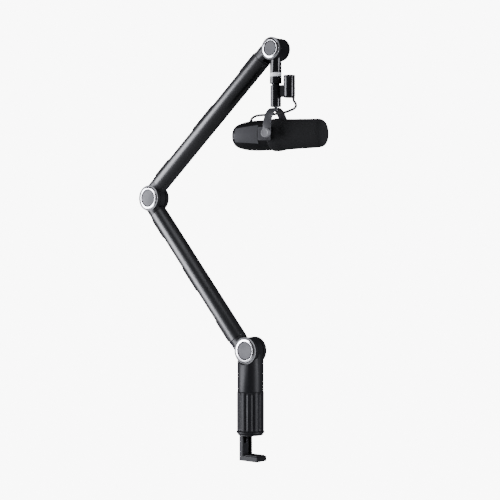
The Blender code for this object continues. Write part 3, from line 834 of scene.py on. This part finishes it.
@dataclass
class Hinge:
    """The capped hinge between two links: chrome rings round spun discs, and a through bolt.

    Attributes:
        label: the start of its CAD nodes' names.
        joint: the record's joint that it stands on.
        body: the body that carries the caps.
        disc_radius: the disc's radius.
        ring_radius: the ring's outer radius.
        face: from the joint's middle out to the links' faces.
    """

    label: str
    joint: str
    body: str
    disc_radius: float = 17.2 * MM
    ring_radius: float = 23.0 * MM
    face: float = 17.0 * MM

    def build(self) -> None:
        """Builds the caps on both sides and dresses the bolt."""
        centre = Axes(joint_point(self.joint), np.eye(3))
        r, inner, outer = self.disc_radius, self.disc_radius + GAP, self.ring_radius
        top = self.face + 1.2 * MM
        for side, way in (("near", -1), ("far", 1)):
            axes, start = centre.facing(way), f"{self.label}_{side}"
            ring = rounded(
                [(inner, self.face + 0.9 * MM), (inner + 0.7 * MM, self.face + 1.9 * MM),
                 (outer - 1.1 * MM, self.face + 1.10 * MM), (outer, self.face + 0.4 * MM),
                 (outer, self.face + GAP), (inner, self.face + GAP)], 0.45 * MM, closed=True)
            lathe(Piece(f"{start}_chrome_ring", CHROME, self.body, f"{start}_ring"), ring, axes,
                  128, closed=True)
            disc = rounded(
                [(0, top - 0.25 * MM), (r * 0.45, top - 0.2 * MM), (r - 1.4 * MM, top),
                 (r - 0.9 * MM, top - 0.5 * MM), (r - 0.5 * MM, top), (r, top - 0.5 * MM),
                 (r, 16.0 * MM), (0, 16.0 * MM)], 0.25 * MM)
            lathe(Piece(f"{start}_cap", DISC_GREY, self.body, f"{start}_disc"), disc, axes, 128)
        dress(STEEL, f"{self.label}_pivot_bolt")


@dataclass
class Link:
    """One arm: its tube, end fittings, cable covers and balance spring.

    Attributes:
        label: the start of its CAD nodes' names.
        body: the body it moves with.
        axes: its frame, Z from pivot to pivot.
        length: the distance between its pivots.
        fittings: the CAD nodes of its end fittings.
        covers: where each cable cover starts and ends along the arm.
        radius: the tube's outer radius.
        wall: its thickness.
        offset: the tube's middle from the line between the pivots.
        start: from a pivot to the tube's end.
        cover_angle: half the angle that a cover takes round the tube.
    """

    label: str
    body: str
    axes: Axes
    length: float
    fittings: tuple[str, ...]
    covers: tuple[tuple[float, float], ...]
    radius: float = 18.0 * MM
    wall: float = 1.8 * MM
    offset: float = -10.0 * MM
    start: float = 34.0 * MM
    cover_angle: float = math.radians(39.0)

    def build(self) -> None:
        """Builds and dresses every piece of the arm."""
        low, high = self.start, self.length - self.start
        centre = self.axes.shifted(x=self.offset)
        section = rounded([(self.radius, high), (self.radius, low), (self.radius - self.wall, low),
                           (self.radius - self.wall, high)], 0.5 * MM, closed=True)
        lathe(Piece(f"{self.label}_arm_tube", TUBE_COAT, self.body, f"{self.label}_tube"), section,
              centre, 144, closed=True)
        for node in self.fittings:
            refined(Piece(f"{node}_casting", BLACK_COAT, self.body, node), 0.0008)
        self.build_covers(centre)
        dress(STEEL, f"{self.label}_spring")

    def build_covers(self, centre: Axes) -> None:
        """The low covers on the outer side.

        A cover's section is an arc of shell. Its height over the tube is full in the middle and
        falls to a thin lip within 3 mm of each end and 10 degrees of each side.

        Args:
            centre: the tube's frame.
        """
        for i, (low, high) in enumerate(self.covers):
            z = np.linspace(low, high, 25)
            a = np.linspace(-1.0, 1.0, 33)
            ends = np.clip(np.minimum(z - low, high - z) / (3.0 * MM), 0, 1)
            sides = np.clip((1 - np.abs(a)) / 0.25, 0, 1)
            lift = np.sqrt(ends)[:, None] * np.sqrt(sides)[None, :]
            outer = self.radius + GAP + (0.25 + 1.0 * lift) * MM
            inner = np.full_like(outer, self.radius + 0.1 * MM)
            radii = np.concatenate([outer, inner[:, ::-1]], axis=1)
            angles = math.pi + np.concatenate([a, a[::-1]]) * self.cover_angle
            sections = np.stack([radii * np.cos(angles), radii * np.sin(angles),
                                 np.broadcast_to(z[:, None], radii.shape)], axis=-1)
            node = f"{self.label}_cable_cover"
            loft(Piece(f"{node}_{i}", PLASTIC, self.body, "" if i else node), sections, centre)


@dataclass
class Head:
    """The tilting head: knuckle, stem, marker ring, bare thread and lock ring."""

    stem_radius: float = 11.15 * MM
    stud_radius: float = 7.5 * MM
    bore_radius: float = 7.5 * MM + 0.4 * MM
    thread_pitch: float = 0.94 * MM

    def build(self) -> None:
        """Builds and dresses every piece of the head."""
        top = Axes(joint_point("head_tilt"), np.eye(3))
        refined(Piece("head_casting", GLOSS_COAT, "head", "head_knuckle"), 0.0006)
        self.build_marker(top)
        self.build_thread(top)
        self.build_lock_ring(top)

    def build_marker(self, top: Axes) -> None:
        """The white ring, with a groove round its middle.

        Args:
            top: the axes of the head's hinge.
        """
        low, high, inner = -52.4 * MM, -45.3 * MM, self.bore_radius
        middle, outer = (low + high) / 2, self.stem_radius + 0.1 * MM
        section = rounded(
            [(outer, high), (outer, middle + 0.55 * MM), (outer - 0.8 * MM, middle + 0.3 * MM),
             (outer - 0.8 * MM, middle - 0.3 * MM), (outer, middle - 0.55 * MM), (outer, low),
             (inner, low), (inner, high)], 0.4 * MM, closed=True)
        lathe(Piece("white_marker_ring", WHITE, "head", "marker_ring"), section, top, 128,
              closed=True)

    def threaded(self, r: Array, z: Array, angle: Array) -> Array:
        """A stud's radius: one ridge for each pitch of height, which climbs a pitch a turn."""
        ridge = 0.5 - 0.5 * np.cos(TURN * (z / self.thread_pitch - angle / TURN))
        return r - 0.5 * MM * ridge * (r > 6.5 * MM)

    def build_thread(self, top: Axes) -> None:
        """The stud that shows between the lock ring and the yoke's socket.

        Args:
            top: the axes of the head's hinge.
        """
        low, high = -101.0 * MM, -33.5 * MM
        wall = [(self.stud_radius, z) for z in np.linspace(high - 1 * MM, low + 1 * MM, 520)]
        section = np.array([(0, high), (self.stud_radius - 1 * MM, high), *wall,
                            (self.stud_radius - 1 * MM, low), (0, low)])
        lathe(Piece("threaded_stud", DARK_STEEL, "head", "thread_stud"), section, top, 48,
              shape=self.threaded)

    def knurled(self, r: Array, z: Array, angle: Array) -> Array:
        """The lock ring's radius: shallow straight knurls round its middle.

        Args:
            r, z, angle: the profile's radii and heights, and the angles round the axis.

        Returns:
            The new radii.
        """
        middle = -(52.7 + 65.0) / 2 * MM
        band = np.clip(1.6 - np.abs(z - middle) / (2.6 * MM), 0, 1)
        return r - 0.07 * MM * band * (r > 10.6 * MM) * (0.5 - 0.5 * np.cos(48 * angle))

    def build_lock_ring(self, top: Axes) -> None:
        """The ring that locks the yoke's thread.

        Args:
            top: the axes of the head's hinge.
        """
        low, high = -65.0 * MM, -52.7 * MM
        outer, inner = 11.3 * MM, self.bore_radius
        wall = [(outer, z) for z in np.linspace(high, low, 14)]
        section = rounded([*wall, (inner, low), (inner, high)], 0.8 * MM, closed=True, steps=3)
        lathe(Piece("knurled_lock_ring", GLOSS_COAT, "lock_ring", "lock_ring"), section, top, 384,
              closed=True, shape=self.knurled)


@dataclass
class Mount:
    """The swivelling mount: thread socket, bridge, connector housing, yoke, knobs and lead."""

    axes: Axes
    socket_radius: float = 10.25 * MM
    housing_radius: float = 11.0 * MM
    housing_forward: float = 28.0 * MM
    housing_low: float = 69.3 * MM
    housing_high: float = 111.3 * MM
    yoke_radius: float = 42.5 * MM
    yoke_top: float = 51.3 * MM
    yoke_band: float = 16.0 * MM
    yoke_thick: float = 3.0 * MM
    lead_radius: float = 2.3 * MM
    lead_route: tuple[tuple[float, float], ...] = (
        (36.5, 68.4), (36.7, 65.0), (37.6, 62.0), (40.6, 58.0), (41.6, 54.0), (40.6, 50.6),
        (37.0, 47.8), (31.0, 45.4), (24.0, 43.2), (16.0, 41.4), (7.0, 40.2), (-3.0, 39.4),
        (-14.0, 39.0), (-25.0, 38.9), (-34.0, 38.6), (-41.0, 37.6), (-47.0, 35.2), (-50.2, 32.4),
        (-51.4, 29.2),
    )  # (x, z) in millimetres

    def build(self) -> None:
        """Builds and dresses every piece of the mount."""
        self.build_socket()
        self.build_housing()
        self.build_yoke()
        self.build_knobs()
        self.build_lead()

    def build_socket(self) -> None:
        """The thread socket, a cup with a hole for the yoke's bolt, and the bridge beside it."""
        low, high = 53.3 * MM, 93.9 * MM
        inner, outer = 7.9 * MM, self.socket_radius
        section = rounded([(inner, high), (outer, high), (outer, low), (3.3 * MM, low),
                           (3.3 * MM, low + 4 * MM), (inner, low + 4 * MM)], 0.8 * MM, closed=True)
        lathe(Piece("thread_socket", GLOSS_COAT, "mount", "yoke_socket"), section, self.axes, 128,
              closed=True)
        refined(Piece("housing_bridge", GREY_COAT, "mount", "connector_bridge"), 0.0005)
        refined(Piece("arch_bolt", DARK_STEEL, "mount", "yoke_bolt"), 0.0004)

    def build_housing(self) -> None:
        """The connector housing, its insert and three gold pins."""
        low, high, outer = self.housing_low, self.housing_high, self.housing_radius
        axes = self.axes.shifted(x=self.housing_forward)
        section = rounded(
            [(9.3 * MM, high), (outer, high), (outer, high - 3.4 * MM),
             (outer - 0.35 * MM, high - 3.8 * MM), (outer, high - 4.2 * MM), (outer, low + 2 * MM),
             (outer - 1.2 * MM, low), (3.0 * MM, low), (3.0 * MM, low + 8 * MM),
             (9.3 * MM, low + 14 * MM)], 0.7 * MM, closed=True)
        lathe(Piece("socket_housing", GLOSS_COAT, "mount", "connector_housing"), section, axes,
              128, closed=True)
        face, tip, out = low + 18 * MM, low + 32 * MM, 4.2 * MM
        insert = rounded([(0, face), (9.0 * MM, face), (9.0 * MM, low + 14.3 * MM),
                          (0, low + 14.3 * MM)], 0.4 * MM)
        lathe(Piece("pin_insulator", PLASTIC, "mount", "connector_insert"), insert, axes)
        pin = rounded([(0, tip), (1.2 * MM, tip), (1.2 * MM, face - MM), (0, face - MM)], 1.1 * MM)
        for i, degrees in enumerate((30, 150, 270)):
            a = math.radians(degrees)
            lathe(Piece(f"contact_pin_{i}", GOLD, "mount"), pin,
                  axes.shifted(out * math.cos(a), out * math.sin(a)), 24)

    def build_yoke(self) -> None:
        """The yoke: a band carried along a half circle and down to two round feet.

        At each point of the path the section is a rounded rectangle in the plane of the path's
        outward normal and the microphone's X. Over the last half width of a leg its width
        follows a circle round the pivot.
        """
        centre, radius = self.yoke_top - self.yoke_radius, self.yoke_radius - self.yoke_thick / 2
        foot, half = -8.0 * MM, self.yoke_band / 2
        leg = np.concatenate([[0.02 * MM], (1 - np.cos(np.linspace(0.12, math.pi / 2, 14))) * half,
                              np.linspace(half * 1.05, centre - foot - 0.4 * MM, 8)])
        arc = np.linspace(0.0, math.pi, 65)
        y = np.concatenate([np.full(len(leg), radius), radius * np.cos(arc),
                            np.full(len(leg), -radius)])
        z = np.concatenate([foot + leg, centre + radius * np.sin(arc), (foot + leg)[::-1]])
        normal_angle = np.concatenate([np.zeros(len(leg)), arc, np.full(len(leg), math.pi)])
        below = np.clip(half - (z - foot), 0.0, half)
        width = 2 * np.sqrt(np.maximum(half**2 - below**2, (0.6 * MM) ** 2))
        unit = rounded_rectangle(1.0, self.yoke_thick, 0.7 * MM, 4)
        flat_x = np.sign(unit[:, 0]) * 0.5
        inset = unit[:, 0] - flat_x
        x = flat_x[None, :] * width[:, None] + inset[None, :]
        n = unit[:, 1][None, :]
        sections = np.stack([x, y[:, None] + n * np.cos(normal_angle)[:, None],
                             z[:, None] + n * np.sin(normal_angle)[:, None]], axis=-1)
        loft(Piece("yoke_band", YOKE_GREY, "mount", "yoke"), sections, self.axes)

    def gripped(self, r: Array, z: Array, angle: Array) -> Array:
        """A thumb knob's radius: fine straight knurls on its rim."""
        return r - 0.3 * MM * (r > 8.2 * MM) * (0.5 - 0.5 * np.cos(30 * angle))

    def build_knobs(self) -> None:
        """The two thumb knobs with their screws."""
        outer = 8.5 * MM
        rim = [(outer, z) for z in np.linspace(49.9, 43.4, 8) * MM]
        corners = [(0, 50.1 * MM), (5.2 * MM, 50.0 * MM), (6.0 * MM, 50.4 * MM),
                   (outer - 0.5 * MM, 50.4 * MM), *rim, (outer - 0.6 * MM, 42.8 * MM),
                   (3.0 * MM, 42.8 * MM), (3.0 * MM, 32.4 * MM), (0, 32.4 * MM)]
        section = rounded(corners, 0.25 * MM, steps=3)
        for side, way in (("near", -1), ("far", 1)):
            knob = Piece(f"{side}_thumb_knob", KNOB_GREY, f"{side}_knob", f"{side}_yoke_knob")
            lathe(knob, section, self.axes.facing(way), 240, shape=self.gripped)

    def build_lead(self) -> None:
        """The short lead from the connector housing to the microphone's body.

        A circle is carried along the smooth route in the microphone's middle plane, in the plane
        of the route's normal and the microphone's Y.
        """
        route = smooth_line(np.array(self.lead_route) * MM, 10)
        line = np.stack([route[:, 0], np.zeros(len(route)), route[:, 1]], axis=1)
        ahead = np.gradient(line, axis=0)
        ahead /= np.linalg.norm(ahead, axis=1)[:, None]
        across = np.array([0.0, 1.0, 0.0])
        normal = np.cross(across, ahead)
        a = np.linspace(0, TURN, 20, endpoint=False)
        ring = (np.cos(a)[None, :, None] * normal[:, None, :]
                + np.sin(a)[None, :, None] * across[None, None, :]) * self.lead_radius
        lead = loft(Piece("microphone_lead", RUBBER, node="mic_lead"), line[:, None, :] + ring,
                    self.axes)
        path = self.axes.place(line)
        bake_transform(lead)
        refined(Piece("lead_boot", RUBBER, "mount", "lead_gland"), 0.0003)


@dataclass
class Microphone:
    """The microphone: body, side plates, bosses, foam windscreen and what it holds inside."""

    axes: Axes
    tail: float = -85.2 * MM
    front: float = 102.0 * MM
    body_points: tuple[tuple[float, float], ...] = (
        (28.9, -8.4), (28.95, -20.0), (28.9, -38.0), (27.5, -56.0), (25.2, -68.0), (22.6, -76.0),
        (19.6, -81.4), (15.5, -84.6),
    )  # (radius, x) in millimetres

    def build(self) -> None:
        """Builds and dresses every piece of the microphone."""
        self.build_body()
        for side in ("near", "far"):
            for name, node, bevel in (("flank_plate", "side_plate", 0.0005),
                                      ("pivot_boss", "yoke_boss", 0.0006)):
                refined(Piece(f"{side}_{name}", PLATE_GREY, "microphone", f"{side}_{node}"), bevel)
        self.build_foam()
        dress(PLASTIC, "retaining_ring", "capsule")
        dress(STEEL, "grille_cage")
        dress(RUBBER, "capsule_mount", "lead_grommet")
        dress(BOARD, "circuit_board")

    def build_body(self) -> None:
        """The body shell: a smooth outline turned round the microphone's axis."""
        outline = smooth_line(np.array(self.body_points) * MM, 6)
        wall = 2.2 * MM
        inner = outline[::-1] - np.array([wall, 0.0])
        inner[:, 1] = np.maximum(inner[:, 1], self.tail + wall)
        tail = rounded([(13.0 * MM, self.tail), (10.0 * MM, self.tail), (9.4 * MM, self.tail + MM),
                        (0, self.tail + MM)], 0.4 * MM)
        section = np.vstack([outline, tail[:-1]])
        profile = np.vstack([[0.0, self.tail + wall + 0.2 * MM], inner[:1] * [0.3, 1], inner,
                             section, [[0.0, self.tail + MM]]])
        lathe(Piece("body_casing", BODY_COAT, "microphone", "body_shell"), profile,
              self.axes.along_x(), 144)

    def foamy(self, r: Array, z: Array, angle: Array) -> Array:
        """The windscreen's radius with the shallow unevenness of cut foam.

        The unevenness is a sum of sines of the angle and the height with prime counts.

        Args:
            r, z, angle: the profile's radii and heights, and the angles round the axis.

        Returns:
            The new radii.
        """
        wave = (np.sin(7 * angle + 110 * z) + np.sin(13 * angle - 190 * z + 1.3)
                + 0.6 * np.sin(29 * angle + 430 * z + 0.4) + 0.6 * np.sin(-23 * angle + 610 * z))
        return r + 0.06 * MM * wave * (r > 26.0 * MM)

    def build_foam(self) -> None:
        """The foam windscreen, a thick cup with a fuller rim round its mouth."""
        front = self.front
        outer = smooth_line(np.array([
            (0.01, front), (10.0 * MM, front - 0.25 * MM), (17.5 * MM, front - 1.3 * MM),
            (22.6 * MM, front - 4.0 * MM), (25.6 * MM, front - 8.3 * MM),
            (26.9 * MM, front - 14.0 * MM), (27.3 * MM, front - 24.0 * MM), (28.1 * MM, 48.0 * MM),
            (28.9 * MM, 26.0 * MM), (29.5 * MM, 18.5 * MM), (30.6 * MM, 13.0 * MM),
            (31.2 * MM, 7.0 * MM), (31.0 * MM, 0.0), (30.5 * MM, -3.6 * MM)]), 7)
        outer[0, 0] = 0.0
        mouth = np.array([(29.8, -4.9), (29.2, -5.0), (28.9, -4.2), (28.9, 10.3), (25.6, 10.3),
                          (25.2, 88.0), (18.0, 92.0), (0.0, 92.0)]) * MM
        foam = lathe(Piece("foam_sleeve", FOAM, "microphone", "foam_windscreen"),
                     np.vstack([outer, mouth]), self.axes.along_x(), 192, shape=self.foamy)


# ---- studio ------------------------------------------------------------------------------------
@dataclass(frozen=True)
class Softbox:
    """A rectangular area light that faces the aim.

    Attributes:
        name: its name.
        angle: degrees to the right of the camera's side, as seen from the aim.
        distance: from the aim, on the level.
        rise: how far it stands above the aim.
        size: its width and height.
        power: its power in watts.
    """

    name: str
    angle: float
    distance: float
    rise: float
    size: tuple[float, float]
    power: float


@dataclass
class Studio:
    """The floor, the lights and the camera.

    Attributes:
        azimuth: how far the camera's side is turned.
        distance: the camera's distance from the Z axis.
        height: its height.
        lens: its focal length in millimetres.
        floor_z: the floor's height.
        floor_half: half the floor's width.
        white: how bright the surroundings are to the camera.
        fill: how bright they are to the object.
        aim_height: the height of the aim, which is on the Z axis.
        softboxes: the lights.
    """

    azimuth: float = math.radians(38.0)
    distance: float = 2.404
    height: float = 0.355
    lens: float = 90.0
    floor_z: float = -1.30
    floor_half: float = 30.0
    white: float = 9.0
    fill: float = 0.04
    aim_height: float = 0.35
    softboxes: tuple[Softbox, ...] = (
        Softbox("left_softbox", -84.0, 5.0, 0.15, (3.2, 3.0), 520.0),
        Softbox("right_softbox", 58.0, 1.8, 0.0, (0.34, 1.2), 38.0),
        Softbox("top_softbox", 0.0, 0.5, 1.6, (1.2, 1.2), 7.5),
    )

    def build(self) -> None:
        """Makes the camera, the pale floor, the white surroundings and the soft lights."""
        self.build_camera()
        self.build_floor()
        self.build_world()
        for softbox in self.softboxes:
            self.build_light(softbox)

    def build_camera(self) -> None:
        """A level long-lens camera in front of the arm, turned by the azimuth."""
        data = bpy.data.cameras.new("camera")
        data.lens = self.lens
        data.sensor_width = 36.0
        data.shift_x = -0.001
        camera = add_object("camera", data)
        camera.location = (self.distance * math.sin(self.azimuth),
                           -self.distance * math.cos(self.azimuth), self.height)
        camera.rotation_euler = (math.pi / 2, 0.0, self.azimuth)
        bpy.context.scene.camera = camera

    def build_floor(self) -> None:
        """A large plain floor that glows as white as the surroundings."""
        mesh = bpy.data.meshes.new("floor")
        half, z = self.floor_half, self.floor_z
        mesh.from_pydata([(-half, -half, z), (half, -half, z), (half, half, z), (-half, half, z)],
                         [], [(0, 1, 2, 3)])
        mat = bpy.data.materials.new("floor_white")
        mat.use_nodes = True
        nodes = Nodes(mat.node_tree)
        seen = nodes.node("LightPath", {}).outputs["Is Camera Ray"]
        shader = mat.node_tree.nodes["Principled BSDF"]
        for label, value in {
            "Base Color": (0.35, 0.35, 0.35, 1.0), "Roughness": 0.9,
            "Emission Color": (1.0, 1.0, 1.0, 1.0),
            "Emission Strength": nodes.maths("MULTIPLY", seen, self.white),
        }.items():
            nodes.feed(shader.inputs[label], value)
        mesh.materials.append(mat)
        add_object("floor", mesh)

    def build_world(self) -> None:
        """White surroundings: bright to the camera, and a soft even light to the object."""
        world = bpy.data.worlds.new("studio")
        bpy.context.scene.world = world
        world.use_nodes = True
        nodes = Nodes(world.node_tree)
        seen = nodes.node("LightPath", {}).outputs["Is Camera Ray"]
        spread = nodes.node("MapRange", {"Value": seen, "To Min": self.fill, "To Max": self.white})
        background = world.node_tree.nodes["Background"]
        nodes.feed(background.inputs["Color"], (1.0, 1.0, 1.0, 1.0))
        nodes.feed(background.inputs["Strength"], spread.outputs["Result"])

    def build_light(self, softbox: Softbox) -> None:
        """One area light, faintly blue.

        Args:
            softbox: what it is like and where it stands.
        """
        right = np.array([math.cos(self.azimuth), math.sin(self.azimuth), 0.0])
        back = np.array([math.sin(self.azimuth), -math.cos(self.azimuth), 0.0])
        aim = np.array([0.0, 0.0, self.aim_height])
        a = math.radians(softbox.angle)
        place = (aim + softbox.distance * (math.cos(a) * back + math.sin(a) * right)
                 + [0, 0, softbox.rise])
        data = bpy.data.lights.new(softbox.name, "AREA")
        data.shape = "RECTANGLE"
        data.size, data.size_y = softbox.size
        data.energy = softbox.power
        data.color = (0.955, 0.965, 1.04)
        light = add_object(softbox.name, data)
        light.location = place
        light.rotation_euler = Vector(aim - place).to_track_quat("-Z", "Y").to_euler()


def build_links() -> list[Link]:
    """The two arms, from the record's pivots.

    Returns:
        The lower and the upper arm.
    """
    base, elbow, head = (joint_point(n) for n in ("base_tilt", "elbow", "head_tilt"))
    lower = Link("lower", "lower_arm", arm_axes(base, elbow), float(np.linalg.norm(elbow - base)),
                 ("lower_base_fork", "lower_elbow_fork"),
                 ((42 * MM, 92 * MM), (168 * MM, 226 * MM), (306 * MM, 352 * MM)))
    upper = Link("upper", "upper_arm", arm_axes(elbow, head), float(np.linalg.norm(head - elbow)),
                 ("upper_knuckle", "upper_fork"),
                 ((40 * MM, 86 * MM), (172 * MM, 240 * MM), (330 * MM, 378 * MM)))
    return [lower, upper]


def main() -> None:
    """Builds the studio and every sub-assembly in order."""
    logging.basicConfig(level=logging.INFO, format="%(message)s")
    Studio().build()
    mic = microphone_axes()
    assemblies = [
        Mount(mic),
        Clamp(),
        Post(),
        *build_links(),
        Hinge("base", "base_tilt", "lower_arm"),
        Hinge("elbow", "elbow", "lower_arm"),
        Hinge("head", "head_tilt", "upper_arm", 14.0 * MM, 19.2 * MM),
        Head(),
        Microphone(mic),
    ]
    for assembly in assemblies:
        log.info("building %s", type(assembly).__name__)
        assembly.build()


if __name__ == "__main__":
    main()
